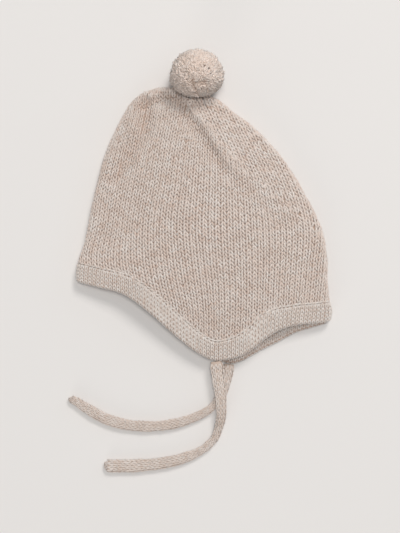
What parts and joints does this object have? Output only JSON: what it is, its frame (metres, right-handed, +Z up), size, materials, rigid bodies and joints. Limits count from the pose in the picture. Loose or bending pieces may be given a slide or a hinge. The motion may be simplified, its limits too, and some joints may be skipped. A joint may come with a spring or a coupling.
{
  "type": "baby bonnet",
  "caption": "Knitted baby bonnet with ear flaps, a folded edge band, a pompom and knitted ties, lying flat on its side.",
  "frame": {"origin": "on the surface it lies on, under the middle of the bonnet's box, measured without the ties", "axes": "+Z up from the surface, +Y from the mouth to the pompom, +X across the flat bonnet from the fold on the left of the picture to the fold on its right"},
  "size_m": [0.1972, 0.3133, 0.0401],
  "materials": {
    "yarn": "soft heathered wool, stocking stitch",
    "band_yarn": "soft heathered wool, fine folded band",
    "pompom_yarn": "cut wool ends, fuzzy",
    "tie_yarn": "soft heathered wool, knitted cord"
  },
  "bodies": {
    "root": {"crown": "yarn", "edge_band": "band_yarn", "pompom": "pompom_yarn", "tie_near": "tie_yarn", "tie_far": "tie_yarn"}
  },
  "joints": []
}
